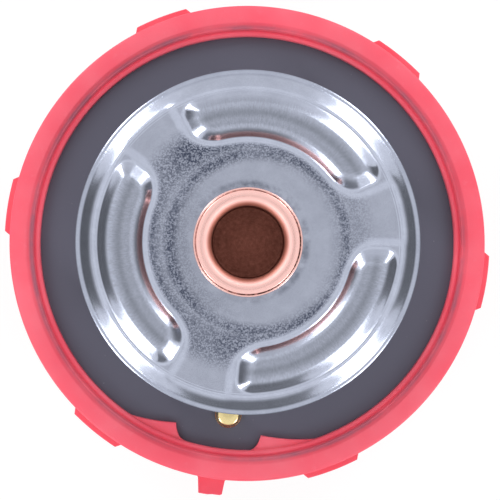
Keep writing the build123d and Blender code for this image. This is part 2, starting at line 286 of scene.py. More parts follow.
def mouldedSilicone():
    # moulded silicone rubber: an even, matt coral with a soft sheen; grime stays in its groove
    look = siliconeLook
    material, tree, shader = surface("mouldedSilicone", look, IOR=1.43,
                                     Subsurface_Weight=look["translucence"],
                                     Subsurface_Scale=look["glowDepth"] * mm,
                                     Subsurface_Radius=look["glowReach"])
    at = placeInMm(tree)
    cloud = clouds(tree, at, 1 / look["cloudSize"], look["cloud"])
    scuff = addNode(tree, "ShaderNodeTexNoise", {"Vector": at.place,
                                                 "Scale": 1 / look["scuffSize"], "Detail": 4.0,
                                                 "Roughness": 0.7})
    rubbed = addNode(tree, "ShaderNodeMapRange", [scuff, *look["scuff"]])
    # a grey film lies in the groove, in patches
    film = allOf(tree, between(tree, at.radius, *look["groove"]),
                 clouds(tree, at, look["filmPerMm"], look["film"], detail=4.0, roughness=0.6))
    # painted shade: the crease beside the groove is darker, and so is the outer edge where the
    # land turns down
    crease = allOf(tree, between(tree, at.radius, *look["creaseBand"]), look["creaseShade"])
    edge = addNode(tree, "ShaderNodeMapRange", [at.radius, *look["outerEdgeShade"]])
    paintOver(tree, shader, look["colour"], (cloud, look["pale"]), (rubbed, look["pale"]),
              (film, look["dirt"]), (crease, look["crease"]), (edge, look["crease"]))
    roughenBy(tree, shader, look, scuff)
    grain = addNode(tree, "ShaderNodeTexNoise", {"Vector": at.place,
                                                 "Scale": 1 / look["grainSize"]})
    lumps = addNode(tree, "ShaderNodeBump", {"Height": grain, "Distance": look["grainDepth"] * mm})
    tree.links.new(lumps.outputs[0], shader.inputs["Normal"])
    return material


zincLook = {
    "colour": "#c1c7d9", "dull": "#474d60", "crown": "#838894", "roughness": 0.17,
    # sand: a ring round the hub, a little off centre, that spreads between the pads
    "sandRoughness": 0.3, "sandSize": 0.17, "sandDepth": 0.02, "sandRing": (9.6, 11.0, 0.7),
    "sandOff": (1.1, 0.0, 0.0), "sandSpread": (10.2, 14.4, 1.5), "sandFade": (4.0, 11.0, 1.0, 0.5),
    "sandLevel": (31.22, 31.3, 1.0, 0.0), "sandPatchPerMm": 0.13, "sandPatch": (0.35, 0.6, 0.7),
    "grains": (0.38, 0.58, 0.3), "leastSand": 0.05,
    # dullness: clouds all over, painted shade with dirt at the cup's rim, a patch across from it,
    # and the lip
    "cloudSize": 2.2, "cloud": (0.35, 0.65), "cloudDark": 0.1,
    "cupShadowDirtBand": (6.3, 7.1, 0.35), "cupShadowDirtSide": (0.11, 0.1, 0.0), "cupShadowDirtTurn": (-1.0, 0.7, 0.2),
    "cupShadowDirtDark": 0.6, "dullPatch": (7.0, 8.8, 0.5), "patchSide": (-0.12, -0.03, 0.0),
    "patchTurn": (0.2, 0.9), "patchDark": 0.34, "lip": (19.2, 19.5), "lipDull": 0.18,
    # the pads' crowns: from where they are rubbed, and the painted shade along their middle
    "crownRise": (31.75, 32.35), "crownMarks": (2.2, 110.0), "crownRub": (0.25, 0.5),
    "crownMiddleShade": (14.7, 15.2, 0.5), "crownShade": 0.5, "crownRough": 0.08,
    # relief, as shares of the sand's depth
    "evenRelief": 0.08, "crownRelief": 0.1, "rimMarks": (0.3, 160.0), "rimRelief": 0.35,
    "rimBand": (19.1, 20.5, 0.3), "ledgeLines": (17.45, 18.05, 0.1), "lineSpacing": 0.28,
    "lineRelief": 0.3,
}


def brightZincPlate():
    # bright zinc plated sheet, pressed: mirror-like where the die polished it, sandy elsewhere
    look = zincLook
    material, tree, shader = surface("brightZincPlate", look, metallic=1.0)
    at = placeInMm(tree)
    sand = addNode(tree, "ShaderNodeTexNoise", {"Vector": at.place, "Scale": 1 / look["sandSize"],
                                                "Detail": 2.0, "Roughness": 0.6})
    # the ring round the hub, which spreads out where it isn't lifted into a pad
    offAxis = addNode(tree, "ShaderNodeVectorMath", [at.flat, look["sandOff"]],
                      operation="SUBTRACT")
    offAxis = addNode(tree, "ShaderNodeVectorMath", [offAxis], operation="LENGTH").outputs[1]
    level = addNode(tree, "ShaderNodeMapRange", [at.height, *look["sandLevel"]])
    fade = addNode(tree, "ShaderNodeMapRange", [at.sideways, *look["sandFade"]])
    inRing = allOf(tree, between(tree, offAxis, *look["sandRing"]), level)
    spread = allOf(tree, between(tree, at.radius, *look["sandSpread"]), level, fade)
    ring = addNode(tree, "ShaderNodeMath", [inRing, spread], operation="MAXIMUM")
    ring = allOf(tree, ring, clouds(tree, at, look["sandPatchPerMm"], look["sandPatch"]))
    mottle = addNode(tree, "ShaderNodeMath", [ring, look["leastSand"]], operation="MAXIMUM")
    grains = addNode(tree, "ShaderNodeMapRange", [sand, *look["grains"]])
    # faint clouds all over; round the cup's rim where it stands on the hub, painted shade with
    # dirt in patches, most of it to one side; and a dull patch across from it
    cloud = clouds(tree, at, 1 / look["cloudSize"], look["cloud"], detail=4.0, roughness=0.65)
    cupShadowAndDirt = allOf(tree, between(tree, at.radius, *look["cupShadowDirtBand"]),
                 toOneSide(tree, at, look["cupShadowDirtSide"], look["cupShadowDirtTurn"]), cloud)
    patch = allOf(tree, between(tree, at.radius, *look["dullPatch"]),
                  toOneSide(tree, at, look["patchSide"], look["patchTurn"]), grains)
    lip = addNode(tree, "ShaderNodeMapRange", [at.radius, *look["lip"]])
    dull = addedUp(tree, allOf(tree, mottle, grains), (patch, look["patchDark"]),
                   (cupShadowAndDirt, look["cupShadowDirtDark"]), (cloud, look["cloudDark"]), (lip, look["lipDull"]))
    # the crowns of the pads are rubbed, with fine marks across, and painted shade darkens them
    # along their middle
    crown = addNode(tree, "ShaderNodeMapRange", [at.height, *look["crownRise"]])
    across = turningMarks(tree, at, *look["crownMarks"])
    rubbed = addNode(tree, "ShaderNodeMapRange", [across, *usualNoise, *look["crownRub"]])
    # painted shade: a darker band along the middle of each crown
    middle = between(tree, at.radius, *look["crownMiddleShade"])
    rubbed = allOf(tree, crown, addedUp(tree, rubbed, (middle, look["crownShade"])))
    paintOver(tree, shader, look["colour"], (dull, look["dull"]), (rubbed, look["crown"]))
    rough = addNode(tree, "ShaderNodeMapRange", {0: mottle, 3: look["roughness"],
                                                 4: look["sandRoughness"]})
    rough = addedUp(tree, rough, (crown, look["crownRough"]))
    tree.links.new(rough.outputs[0], shader.inputs["Roughness"])
    # sand, fine marks across the crowns and the lip, left by the tools, and lines on the ledge
    sanded = allOf(tree, sand, addNode(tree, "ShaderNodeMath", [mottle, look["evenRelief"]],
                                       operation="ADD"))
    marks = allOf(tree, turningMarks(tree, at, *look["rimMarks"]),
                  between(tree, at.radius, *look["rimBand"]))
    wave = addNode(tree, "ShaderNodeMath", [at.radius, 2 * math.pi / look["lineSpacing"]],
                   operation="MULTIPLY")
    wave = addNode(tree, "ShaderNodeMath", [wave], operation="SINE")
    lines = allOf(tree, wave, between(tree, at.radius, *look["ledgeLines"]))
    relief = addedUp(tree, sanded, (allOf(tree, across, crown), look["crownRelief"]),
                     (marks, look["rimRelief"]), (lines, look["lineRelief"]))
    lumps = addNode(tree, "ShaderNodeBump", {"Height": relief, "Distance": look["sandDepth"] * mm})
    tree.links.new(lumps.outputs[0], shader.inputs["Normal"])
    return material


copperLook = {
    "colour": "#fbcac3", "shadedBrown": "#bf7d6e", "oxideAndShade": "#75493e", "flank": "#c08c7f",
    "seamDark": "#4a2a22", "roughness": 0.26, "roughSpread": (0.05, 0.08),
    "marks": (9.0, 1.5), "markDepth": 0.003,
    "edge": (4.95, 4.4), "roughEdge": (5.2, 4.75, 0.0, 0.34), "recess": (31.6, 32.5, 1.0, 0.0),
    "stainPerMm": 2.2, "stain": (0.35, 0.65, 0.7), "shadeTowardsWall": (0.5, 3.8, 0.86),
    "flankFrom": 6.2, "flankTop": (32.5, 32.8, 1.0, 0.0), "seam": (5.98, 6.12, 0.06),
    "faceFrom": 32.6, "seamDarkSide": (0.13, -0.1, 0.0), "seamDarkTurn": (-1.0, 0.8, 0.35),
    "speckPerMm": 2.8, "specks": (0.4, 0.55, 0.3),
}


def drawnCopper():
    # deep drawn copper: burnished on its rolled rim; inside its recess, oxide in patches with
    # painted shade
    look = copperLook
    material, tree, shader = surface("drawnCopper", look, metallic=1.0)
    at = placeInMm(tree)
    # painted shade: the rim's inner edge goes brown where it rounds into the recess, and the
    # recess below it darker still, most towards its wall, with oxide in patches
    shadeIntoRecess = addNode(tree, "ShaderNodeMapRange", [at.radius, *look["edge"]],
                     interpolation_type="SMOOTHSTEP")
    deep = addNode(tree, "ShaderNodeMapRange", [at.height, *look["recess"]])
    # painted shade: darker from the middle of the recess out towards its wall
    shadeOutwards = addNode(tree, "ShaderNodeMapRange", [at.radius, *look["shadeTowardsWall"]])
    stain = clouds(tree, at, look["stainPerMm"], look["stain"], detail=5.0, roughness=0.7)
    recessOxideAndShade = allOf(tree, shadeIntoRecess, deep, stain, shadeOutwards)
    # and the rim's outer wall is browner than its face
    outside = addNode(tree, "ShaderNodeMath", [at.radius, look["flankFrom"]],
                      operation="GREATER_THAN")
    low = addNode(tree, "ShaderNodeMapRange", [at.height, *look["flankTop"]])
    # a dark line lies in the seam near the rim's edge, most of it to one side: grime in specks,
    # with painted shade in the groove
    onTop = addNode(tree, "ShaderNodeMath", [at.height, look["faceFrom"]],
                    operation="GREATER_THAN")
    dirt = allOf(tree, between(tree, at.radius, *look["seam"]), onTop,
                 toOneSide(tree, at, look["seamDarkSide"], look["seamDarkTurn"]),
                 clouds(tree, at, look["speckPerMm"], look["specks"], detail=3.0))
    paintOver(tree, shader, look["colour"], (shadeIntoRecess, look["shadedBrown"]), (recessOxideAndShade, look["oxideAndShade"]),
              (allOf(tree, outside, low), look["flank"]), (dirt, look["seamDark"]))
    marks = turningMarks(tree, at, *look["marks"])
    worn = addNode(tree, "ShaderNodeMapRange", [at.radius, *look["roughEdge"]])
    roughenBy(tree, shader, look, marks, worn)
    lumps = addNode(tree, "ShaderNodeBump", {"Height": marks, "Distance": look["markDepth"] * mm})
    tree.links.new(lumps.outputs[0], shader.inputs["Normal"])
    return material


metalLooks = {
    # rolled stainless sheet: greyish, with the soft grain of the mill
    "rolledStainless": {"colour": "#a8a9ae", "roughness": 0.32, "grain": 0.6, "depth": 0.0012},
    # ground stainless rod: bright, with fine marks round it
    "groundStainless": {"colour": "#b4b5ba", "roughness": 0.18, "marks": 12.0, "depth": 0.002},
    # drawn spring wire: darker and smooth
    "drawnSpringWire": {"colour": "#94959b", "roughness": 0.27, "grain": 0.4, "depth": 0.0015},
    # turned brass: pale yellow, with the lathe's marks
    "turnedBrass": {"colour": "#ead7a0", "roughness": 0.22, "marks": 10.0, "depth": 0.003},
}


def workedMetal(name):
    # marks are to the millimetre and run round the axis; grain is the size of a lump
    look = {"roughSpread": (0.05, 0.1), **metalLooks[name]}
    material, tree, shader = surface(name, look, metallic=1.0)
    at = placeInMm(tree)
    if "marks" in look:
        noise = turningMarks(tree, at, look["marks"], alongTurn=1.0)
    else:
        noise = addNode(tree, "ShaderNodeTexNoise", {"Vector": at.place,
                                                     "Scale": 1 / look["grain"], "Detail": 3.0})
    roughenBy(tree, shader, look, noise)
    lumps = addNode(tree, "ShaderNodeBump", {"Height": noise, "Distance": look["depth"] * mm})
    tree.links.new(lumps.outputs[0], shader.inputs["Normal"])
    return material


mottledLooks = {
    # zinc flake coated steel: even, matt, dark blue-grey, with a few pale specks
    "zincFlakeSteel": {"colour": "#5b5a69", "other": "#8d8d98", "roughness": 0.5,
                       "metallic": 0.35, "size": 0.5, "spots": (0.72, 0.86), "depth": 0.004},
    # black nitrile rubber: nearly matt, with a grey bloom in places
    "nitrileRubber": {"colour": "#1d1d1f", "other": "#333336", "roughness": 0.6,
                      "metallic": 0.0, "size": 2.5, "spots": (0.4, 0.9), "depth": 0.006},
    # natural fluoroplastic: waxy white
    "naturalPtfe": {"colour": "#e2dfd6", "other": "#d3cfc4", "roughness": 0.42,
                    "metallic": 0.0, "size": 1.5, "spots": (0.3, 0.7), "depth": 0.002},
    # paraffin wax packed with copper powder: brown and dull, with brighter flakes
    "copperFilledWax": {"colour": "#8a5a3d", "other": "#c98a63", "roughness": 0.55,
                        "metallic": 0.0, "size": 0.15, "spots": (0.6, 0.7), "depth": 0.01},
}


def mottled(name):
    look = mottledLooks[name]
    material, tree, shader = surface(name, look, look["metallic"])
    noise = addNode(tree, "ShaderNodeTexNoise", {"Vector": placeInMm(tree).place,
                                                 "Scale": 1 / look["size"], "Detail": 3.0})
    spots = addNode(tree, "ShaderNodeMapRange", [noise, *look["spots"]])
    paintOver(tree, shader, look["colour"], (spots, look["other"]))
    lumps = addNode(tree, "ShaderNodeBump", {"Height": noise, "Distance": look["depth"] * mm})
    tree.links.new(lumps.outputs[0], shader.inputs["Normal"])
    return material


silicone = mouldedSilicone()
zincPlate = brightZincPlate()
copper = drawnCopper()
metals = {name: workedMetal(name) for name in metalLooks}
coatings = {name: mottled(name) for name in mottledLooks}
print("materials made:", len(bpy.data.materials))


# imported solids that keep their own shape
keptSolids = {
    "flange": coatings["zincFlakeSteel"],
    "top_bridge": metals["rolledStainless"],
    "lower_frame": metals["rolledStainless"],
    "main_valve": metals["rolledStainless"],
    "bypass_spring_seat": metals["rolledStainless"],
    "piston": metals["groundStainless"],
    "valve_ring": metals["drawnSpringWire"],
    "element_guide": metals["turnedBrass"],
    "jiggle_cap": metals["turnedBrass"],
    "valve_seal": coatings["nitrileRubber"],
    "rubber_boot": coatings["nitrileRubber"],
    "boot_washer": coatings["naturalPtfe"],
    "wax_charge": coatings["copperFilledWax"],
}
for nodeName, material in keptSolids.items():
    for materialSlot in frame["nodes"][nodeName].material_slots:
        materialSlot.material = material
print("solids dressed:", len(keptSolids))


# Geometry Nodes make the springs and the disc.

def newTree(name, sockets):
    tree = bpy.data.node_groups.new(name, "GeometryNodeTree")
    tree.interface.new_socket("Geometry", in_out="INPUT", socket_type="NodeSocketGeometry")
    for socket, kind in sockets.items():
        tree.interface.new_socket(socket, in_out="INPUT", socket_type="NodeSocket" + kind)
    tree.interface.new_socket("Geometry", in_out="OUTPUT", socket_type="NodeSocketGeometry")
    return tree, addNode(tree, "NodeGroupInput").outputs


def closeTree(tree, geometry, material):
    real = addNode(tree, "GeometryNodeRealizeInstances", [geometry])
    dressed = addNode(tree, "GeometryNodeSetMaterial", {0: real, "Material": material})
    addNode(tree, "NodeGroupOutput", [dressed])


def grow(name, tree, values):
    # runs the tree once on a new piece and keeps the plain mesh
    piece = meshObject(name, bpy.data.meshes.new(name))
    modifier = piece.modifiers.new("shape", "NODES")
    modifier.node_group = tree
    for item in tree.interface.items_tree:
        if item.in_out == "INPUT" and item.name in values:
            modifier[item.identifier] = values[item.name]
    return plainMesh(piece)


def roundTheAxis(tree, radius, angle, height):
    cosine = addNode(tree, "ShaderNodeMath", [angle], operation="COSINE")
    sine = addNode(tree, "ShaderNodeMath", [angle], operation="SINE")
    x = addNode(tree, "ShaderNodeMath", [radius, cosine], operation="MULTIPLY")
    y = addNode(tree, "ShaderNodeMath", [radius, sine], operation="MULTIPLY")
    return addNode(tree, "ShaderNodeCombineXYZ", [x, y, height])


def coilTree():
    tree, given = newTree("coilSpring", {
        "Wire": "Float", "Wire sides": "Int", "Low radius": "Float", "High radius": "Float",
        "Low": "Float", "High": "Float", "Turns": "Float", "Closed turns": "Float",
        "Steps": "Int", "Material": "Material"})
    line = addNode(tree, "GeometryNodeCurvePrimitiveLine")
    points = addNode(tree, "GeometryNodeResampleCurve", {"Curve": line, "Count": given["Steps"]})
    along = addNode(tree, "GeometryNodeSplineParameter").outputs["Factor"]
    turn = addNode(tree, "ShaderNodeMath", [along, given["Turns"]], operation="MULTIPLY")
    angle = addNode(tree, "ShaderNodeMath", [turn, 2 * math.pi], operation="MULTIPLY")
    radius = addNode(tree, "ShaderNodeMapRange", {0: along, 3: given["Low radius"],
                                                  4: given["High radius"]})
    # the end turns lie closed on their seats, and the turns between share the rest of the height
    lastOpen = addNode(tree, "ShaderNodeMath", [given["Turns"], given["Closed turns"]],
                       operation="SUBTRACT")
    endRise = addNode(tree, "ShaderNodeMath", [given["Wire"], given["Closed turns"]],
                      operation="MULTIPLY")
    first = addNode(tree, "ShaderNodeMapRange", {0: turn, 2: given["Closed turns"], 4: endRise})
    last = addNode(tree, "ShaderNodeMapRange", {0: turn, 1: lastOpen, 2: given["Turns"],
                                                4: endRise})
    whole = addNode(tree, "ShaderNodeMath", [given["High"], given["Low"]], operation="SUBTRACT")
    whole = addNode(tree, "ShaderNodeMath", [whole, given["Wire"]], operation="SUBTRACT")
    openRise = addNode(tree, "ShaderNodeMath", [endRise, -2.0, whole], operation="MULTIPLY_ADD")
    middle = addNode(tree, "ShaderNodeMapRange", {0: turn, 1: given["Closed turns"], 2: lastOpen,
                                                  4: openRise})
    ends = addNode(tree, "ShaderNodeMath", [first, last], operation="ADD")
    rise = addNode(tree, "ShaderNodeMath", [ends, middle], operation="ADD")
    halfWire = addNode(tree, "ShaderNodeMath", [given["Wire"], 0.5], operation="MULTIPLY")
    foot = addNode(tree, "ShaderNodeMath", [given["Low"], halfWire], operation="ADD")
    height = addNode(tree, "ShaderNodeMath", [foot, rise], operation="ADD")
    place = roundTheAxis(tree, radius, angle, height)
    bent = addNode(tree, "GeometryNodeSetPosition", {"Geometry": points, "Position": place})
    wire = addNode(tree, "GeometryNodeCurvePrimitiveCircle", {"Resolution": given["Wire sides"],
                                                              "Radius": halfWire})
    tube = addNode(tree, "GeometryNodeCurveToMesh", {"Curve": bent, "Profile Curve": wire,
                                                     "Fill Caps": True})
    closeTree(tree, tube, given["Material"])
    return tree


springs = {
    # wire, turns and rest come from how such springs are wound; the room comes from the solids
    "mainSpring": {"node": "main_spring", "body": "root", "joint": "valve_lift",
                   "wire": 2.0 * mm, "flare": 0.0, "turns": 4.5, "closedTurns": 0.75},
    "bypassSpring": {"node": "bypass_spring", "body": "element", "joint": "bypass_give",
                     "wire": 1.1 * mm, "flare": 2.1 * mm, "turns": 3.0, "closedTurns": 0.4},
}
coilFineness = {"wireSides": 18, "stepsPerTurn": 64}
coil = coilTree()
for name, spring in springs.items():
    low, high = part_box(spring["node"])
    widest = (high.x - low.x) / 2 - spring["wire"] / 2
    piece = grow(name, coil, {
        "Wire": spring["wire"], "Wire sides": coilFineness["wireSides"],
        "Low radius": widest - spring["flare"], "High radius": widest, "Low": low.z,
        "High": high.z, "Turns": spring["turns"], "Closed turns": spring["closedTurns"],
        "Steps": int(spring["turns"] * coilFineness["stepsPerTurn"]),
        "Material": metals["drawnSpringWire"]})
    shadeByAngle(piece.data)
    finishPiece(piece, spring["body"], "spring_steel", metals["drawnSpringWire"], spring["node"])
    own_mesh(piece)
print("springs wound:", ", ".join(springs))


# the bypass disc: one rule gives its plateau, raised pads and drawn rim
disc = {
    "thickness": 0.9 * mm, "sharpFrom": 50,
    # each becomes an input of the tree; soft is how far a bend is smoothed, slope is fall over run
    "form": {
        "hole": 5.68 * mm, "padCount": 3.0, "padAzimuth": math.radians(71.2),
        "padSpan": math.radians(94), "padHeight": 1.3 * mm, "padInner": 11.95 * mm,
        "padOuter": 17.47 * mm, "padCorner": 2.6 * mm, "outerCorner": 1.9 * mm,
        "padSlope": 1.02, "endEase": 0.8, "ledgeHeight": 0.1 * mm, "ledgeSoft": 0.35 * mm,
        "skirt": 0.8 * mm, "skirtHeight": 0.15 * mm, "skirtSoft": 0.05 * mm,
        "skirtTopSoft": 0.1 * mm, "crownSoft": 0.9 * mm, "rimFoot": 19.52 * mm,
        "rimSlope": 0.9, "shoulderSoft": 0.85 * mm, "lipSoft": 0.3 * mm, "edgeRoll": 0.1 * mm,
        "edgeRollWidth": 0.15 * mm, "rings": 110, "spokes": 401,
    },
}


def inputName(key):
    # padOuter becomes Pad outer
    return "".join(" " + c.lower() if c.isupper() else c for c in key).capitalize()


def padDepth(tree, pastEnd, pastSide, corner):
    # how far inside an end and a side of a pad, with a round corner between them
    pastEnd = addNode(tree, "ShaderNodeMath", [pastEnd, corner], operation="ADD")
    pastSide = addNode(tree, "ShaderNodeMath", [pastSide, corner], operation="ADD")
    cornerX = addNode(tree, "ShaderNodeMath", [pastEnd, 0.0], operation="MAXIMUM")
    cornerY = addNode(tree, "ShaderNodeMath", [pastSide, 0.0], operation="MAXIMUM")
    arc = addNode(tree, "ShaderNodeCombineXYZ", [cornerX, cornerY])
    arc = addNode(tree, "ShaderNodeVectorMath", [arc], operation="LENGTH").outputs[1]
    straight = addNode(tree, "ShaderNodeMath", [pastEnd, pastSide], operation="MAXIMUM")
    straight = addNode(tree, "ShaderNodeMath", [straight, 0.0], operation="MINIMUM")
    depth = addNode(tree, "ShaderNodeMath", [corner, arc], operation="SUBTRACT")
    return addNode(tree, "ShaderNodeMath", [depth, straight], operation="SUBTRACT")


def discTree(sizes):
    kinds = {name: type(value).__name__.capitalize() for name, value in sizes.items()}
    tree, given = newTree("pressedDisc", {**kinds, "Material": "Material"})
    grid = addNode(tree, "GeometryNodeMeshGrid", {"Size X": 1.0, "Size Y": 1.0,
                                                  "Vertices X": given["Rings"],
                                                  "Vertices Y": given["Spokes"]})
    here = addNode(tree, "ShaderNodeSeparateXYZ", [addNode(tree, "GeometryNodeInputPosition")])
    radius = addNode(tree, "ShaderNodeMapRange", [here.outputs[0], -0.5, 0.5, given["Hole"],
                                                  given["Rim radius"]])
    angle = addNode(tree, "ShaderNodeMapRange", {0: here.outputs[1], 1: -0.5, 2: 0.5,
                                                 4: 2 * math.pi})
    # how far round from the middle of the nearest pad
    sector = addNode(tree, "ShaderNodeMath", [2 * math.pi, given["Pad count"]], operation="DIVIDE")
    fromPad = addNode(tree, "ShaderNodeMath", [angle, given["Pad azimuth"]], operation="SUBTRACT")
    shifted = addNode(tree, "ShaderNodeMath", [sector, 0.5, fromPad], operation="MULTIPLY_ADD")
    wrapped = addNode(tree, "ShaderNodeMath", [shifted, sector], operation="FLOORED_MODULO")
    centred = addNode(tree, "ShaderNodeMath", [sector, -0.5, wrapped], operation="MULTIPLY_ADD")
    away = addNode(tree, "ShaderNodeMath", [centred], operation="ABSOLUTE")
    halfSpan = addNode(tree, "ShaderNodeMath", [given["Pad span"], 0.5], operation="MULTIPLY")
    pastEnd = addNode(tree, "ShaderNodeMath", [away, halfSpan], operation="SUBTRACT")
    pastEnd = addNode(tree, "ShaderNodeMath", [pastEnd, radius], operation="MULTIPLY")
    pastEnd = addNode(tree, "ShaderNodeMath", [pastEnd, given["End ease"]], operation="MULTIPLY")
    # the pad's inner side and ends rise evenly to its crown, its ends more gently
    pastInner = addNode(tree, "ShaderNodeMath", [given["Pad inner"], radius], operation="SUBTRACT")
    depth = padDepth(tree, pastEnd, pastInner, given["Pad corner"])
    side = addNode(tree, "ShaderNodeMath", [depth, given["Pad slope"]], operation="MULTIPLY")
    # its outer side falls to a low ledge that runs on to the rim
    pastOuter = addNode(tree, "ShaderNodeMath", [radius, given["Pad outer"]], operation="SUBTRACT")
    outerDepth = padDepth(tree, pastEnd, pastOuter, given["Outer corner"])
    outerSide = addNode(tree, "ShaderNodeMath", [outerDepth, given["Pad slope"],
                                                 given["Ledge height"]], operation="MULTIPLY_ADD")
    outerSide = addNode(tree, "ShaderNodeMath", [outerSide, given["Ledge height"],
                                                 given["Ledge soft"]], operation="SMOOTH_MAX")
    cap = addNode(tree, "ShaderNodeMath", [outerSide, given["Pad height"], given["Crown soft"]],
                  operation="SMOOTH_MIN")
    pad = addNode(tree, "ShaderNodeMath", [side, cap, given["Crown soft"]], operation="SMOOTH_MIN")
    # and a slight skirt leads up to it
    wider = addNode(tree, "ShaderNodeMath", [depth, given["Skirt"]], operation="ADD")
    lean = addNode(tree, "ShaderNodeMath", [given["Skirt height"], given["Skirt"]],
                   operation="DIVIDE")
    skirt = addNode(tree, "ShaderNodeMath", [wider, lean], operation="MULTIPLY")
    skirt = addNode(tree, "ShaderNodeMath", [skirt, given["Skirt height"]], operation="MINIMUM")
    skirt = addNode(tree, "ShaderNodeMath", [skirt, 0.0, given["Skirt soft"]],
                    operation="SMOOTH_MAX")
    raised = addNode(tree, "ShaderNodeMath", [pad, skirt, given["Skirt top soft"]],
                     operation="SMOOTH_MAX")
    highest = addNode(tree, "ShaderNodeMath", [raised, given["Pad height"]], operation="MINIMUM")
    top = addNode(tree, "ShaderNodeMath", [highest, given["Plateau"]], operation="ADD")
    # the rim's wall cuts it all off and runs out into the lip, whose edge rolls over a little
    outTo = addNode(tree, "ShaderNodeMath", [given["Rim foot"], radius], operation="SUBTRACT")
    wall = addNode(tree, "ShaderNodeMath", [outTo, given["Rim slope"], given["Lip"]],
                   operation="MULTIPLY_ADD")
    cut = addNode(tree, "ShaderNodeMath", [top, wall, given["Shoulder soft"]],
                  operation="SMOOTH_MIN")
    formed = addNode(tree, "ShaderNodeMath", [cut, given["Lip"], given["Lip soft"]],
                     operation="SMOOTH_MAX")
    rollFrom = addNode(tree, "ShaderNodeMath", [given["Rim radius"], given["Edge roll width"]],
                       operation="SUBTRACT")
    rollBy = addNode(tree, "ShaderNodeMath", [given["Edge roll"], -1.0], operation="MULTIPLY")
    roll = addNode(tree, "ShaderNodeMapRange", {0: radius, 1: rollFrom, 2: given["Rim radius"],
                                                4: rollBy})
    height = addNode(tree, "ShaderNodeMath", [formed, roll], operation="ADD")
    place = roundTheAxis(tree, radius, angle, height)
    pressed = addNode(tree, "GeometryNodeSetPosition", {"Geometry": grid, "Position": place})
    joined = addNode(tree, "GeometryNodeMergeByDistance", {"Geometry": pressed, "Distance": weld})
    closeTree(tree, joined, given["Material"])
    return tree


discLow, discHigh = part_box("bypass_valve")
discSizes = {inputName(key): value for key, value in disc["form"].items()}
discSizes["Rim radius"] = discHigh.x
discSizes["Plateau"] = discHigh.z - disc["form"]["padHeight"]
discSizes["Lip"] = discLow.z + disc["thickness"]
bypassDisc = grow("bypassDisc", discTree(discSizes), {**discSizes, "Material": zincPlate})
wallOf = bypassDisc.modifiers.new("thickness", "SOLIDIFY")
wallOf.thickness = disc["thickness"] - disc["form"]["edgeRoll"]
wallOf.offset = -1.0
plainMesh(bypassDisc)
shadeByAngle(bypassDisc.data, disc["sharpFrom"])
finishPiece(bypassDisc, "bypass", "bright_zinc", zincPlate, "bypass_valve")
print("disc pressed, triangles:", 2 * len(bypassDisc.data.polygons))


# turned and moulded pieces; in a section, each point's third number rounds its corner
cup = {
    "shank": 5.6 * mm, "rim": 6.31 * mm, "rimHeight": 1.7 * mm, "wall": 0.7 * mm,
    "crimpWall": 0.6 * mm, "mouth": 6.05 * mm, "crimpHeight": 4.1 * mm, "shoulder": 2.6 * mm,
    "recess": 4.2 * mm, "recessDepth": 7.0 * mm, "recessEdge": 0.5 * mm, "crest": 5.35 * mm,
    "crestFall": 0.14 * mm, "seam": 6.05 * mm, "seamWidth": 0.1 * mm, "seamDepth": 0.12 * mm,
    "seamFall": (0.9, 0.8, 0.7),  # shares of crestFall, from the seam's outer edge inwards
    "sides": 160,
}


def cupSection(azimuth):
    low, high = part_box("wax_cup")
    top, crimp = high.z, high.x
    crimpTop = low.z + cup["crimpHeight"]
    shankFoot = crimpTop + cup["shoulder"]
    floor = top - cup["recessDepth"]
    bore = cup["shank"] - cup["wall"]
    outer, middle, inner = (share * cup["crestFall"] for share in cup["seamFall"])
    return [
        (cup["mouth"], low.z, 0.1 * mm),
        (crimp, low.z, 0.4 * mm),
        (crimp, crimpTop, 0.7 * mm),
        (cup["shank"], shankFoot, 0.9 * mm),
        (cup["shank"], top - cup["rimHeight"], 0.1 * mm),
        (cup["rim"], top - cup["rimHeight"], 0.15 * mm),
        (cup["rim"], top - cup["crestFall"], 0.2 * mm),
        (cup["seam"] + cup["seamWidth"], top - outer, 0.04 * mm),
        (cup["seam"], top - cup["seamDepth"] - middle, 0.02 * mm),
        (cup["seam"] - cup["seamWidth"], top - inner, 0.04 * mm),
        (cup["crest"], top, 0.5 * mm),
        (cup["recess"] + cup["recessEdge"], top - cup["crestFall"], 0.4 * mm),
        (cup["recess"], top - cup["recessEdge"] - cup["crestFall"], 0.5 * mm),
        (cup["recess"], floor, 0.25 * mm),
        (0, floor, 0),
        (0, floor - cup["wall"], 0),
        (bore, floor - cup["wall"], 0.1 * mm),
        (bore, crimpTop, 0.1 * mm),
        (crimp - cup["crimpWall"], crimpTop, 0.1 * mm),
        (crimp - cup["crimpWall"], low.z + cup["crimpWall"], 0.1 * mm),
        (cup["mouth"], low.z + cup["crimpWall"], 0.1 * mm),
    ]


waxCup = turnedPiece("waxCup", cupSection, steps(cup["sides"]))
finishPiece(waxCup, "element", "copper", copper, "wax_cup")

vent = {
    "shaft": 0.9 * mm, "ring": 0.5 * mm, "bevelFoot": 1.56 * mm, "bevelFootHeight": 0.625 * mm,
    "bevelTop": 1.34 * mm, "flatTop": 0.67 * mm, "dome": 0.1 * mm, "headHeight": 1.5 * mm,
    "sides": 64,
}


def pinSection(azimuth):
    low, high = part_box("jiggle_pin")
    head = (high.x - low.x) / 2
    under = high.z - vent["headHeight"]
    return [
        (0, low.z, 0),
        (vent["shaft"], low.z, 0.1 * mm),
        (vent["shaft"], under, 0.05 * mm),
        (head, under, 0.12 * mm),
        (head, under + vent["ring"], 0.2 * mm),
        (vent["bevelFoot"], under + vent["bevelFootHeight"], 0.08 * mm),
        (vent["bevelTop"], high.z - vent["dome"], 0.2 * mm),
        (vent["flatTop"], high.z, 0.3 * mm),
        (0, high.z, 0),
    ]


pinLow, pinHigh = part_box("jiggle_pin")
ventPin = turnedPiece("ventPin", pinSection, steps(vent["sides"]))
ventPin.data.transform(Matrix.Translation(((pinLow.x + pinHigh.x) / 2,
                                           (pinLow.y + pinHigh.y) / 2, 0)))
finishPiece(ventPin, "vent_pin", "brass", metals["turnedBrass"], "jiggle_pin")
print("cup and vent pin turned")

